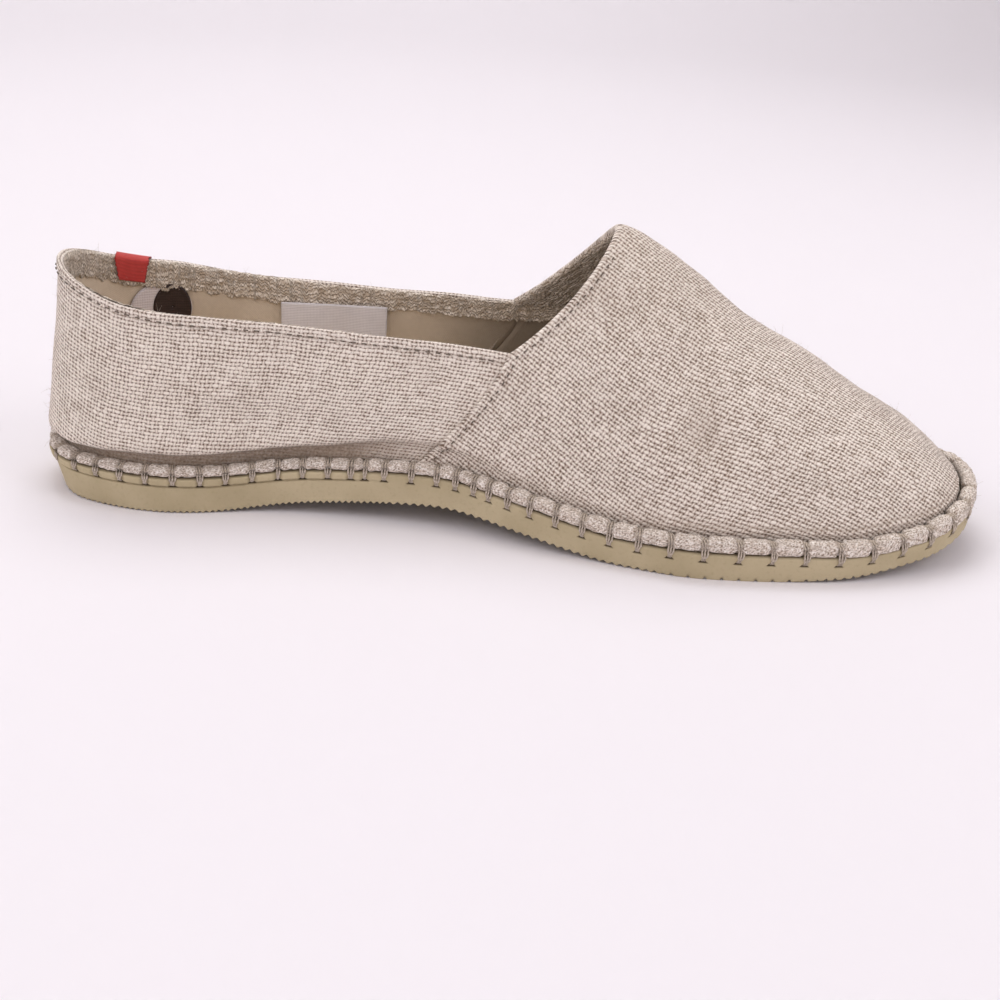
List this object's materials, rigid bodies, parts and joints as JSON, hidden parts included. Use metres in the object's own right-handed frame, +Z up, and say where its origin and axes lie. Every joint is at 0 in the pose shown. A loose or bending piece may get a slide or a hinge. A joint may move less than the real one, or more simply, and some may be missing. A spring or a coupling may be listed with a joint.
{
  "type": "slip-on espadrille",
  "caption": "Flat left espadrille with a hollow woven-cloth upper, low collar and peaked throat, a stitched cord welt and a rubber outsole with arch and toe spring.",
  "frame": {"origin": "on the floor under the middle of the shoe's bounding box", "axes": "+X from heel to toe, +Y towards the outer side of the left foot, +Z up"},
  "size_m": [0.3, 0.1076, 0.092],
  "materials": {
    "outsole": "smooth beige rubber, matt, with a ribbed underside",
    "cord_welt": "braided oatmeal cord sewn down with twin threads",
    "upper": "oatmeal linen in plain weave, matt, with stitched hems",
    "insole": "smooth beige lining cloth on a thin pad",
    "side_tab": "woven red ribbon, slight sheen"
  },
  "bodies": {
    "root": {"outsole": "outsole", "cord_welt": "cord_welt", "upper": "upper", "insole": "insole", "side_tab": "side_tab"}
  },
  "joints": []
}
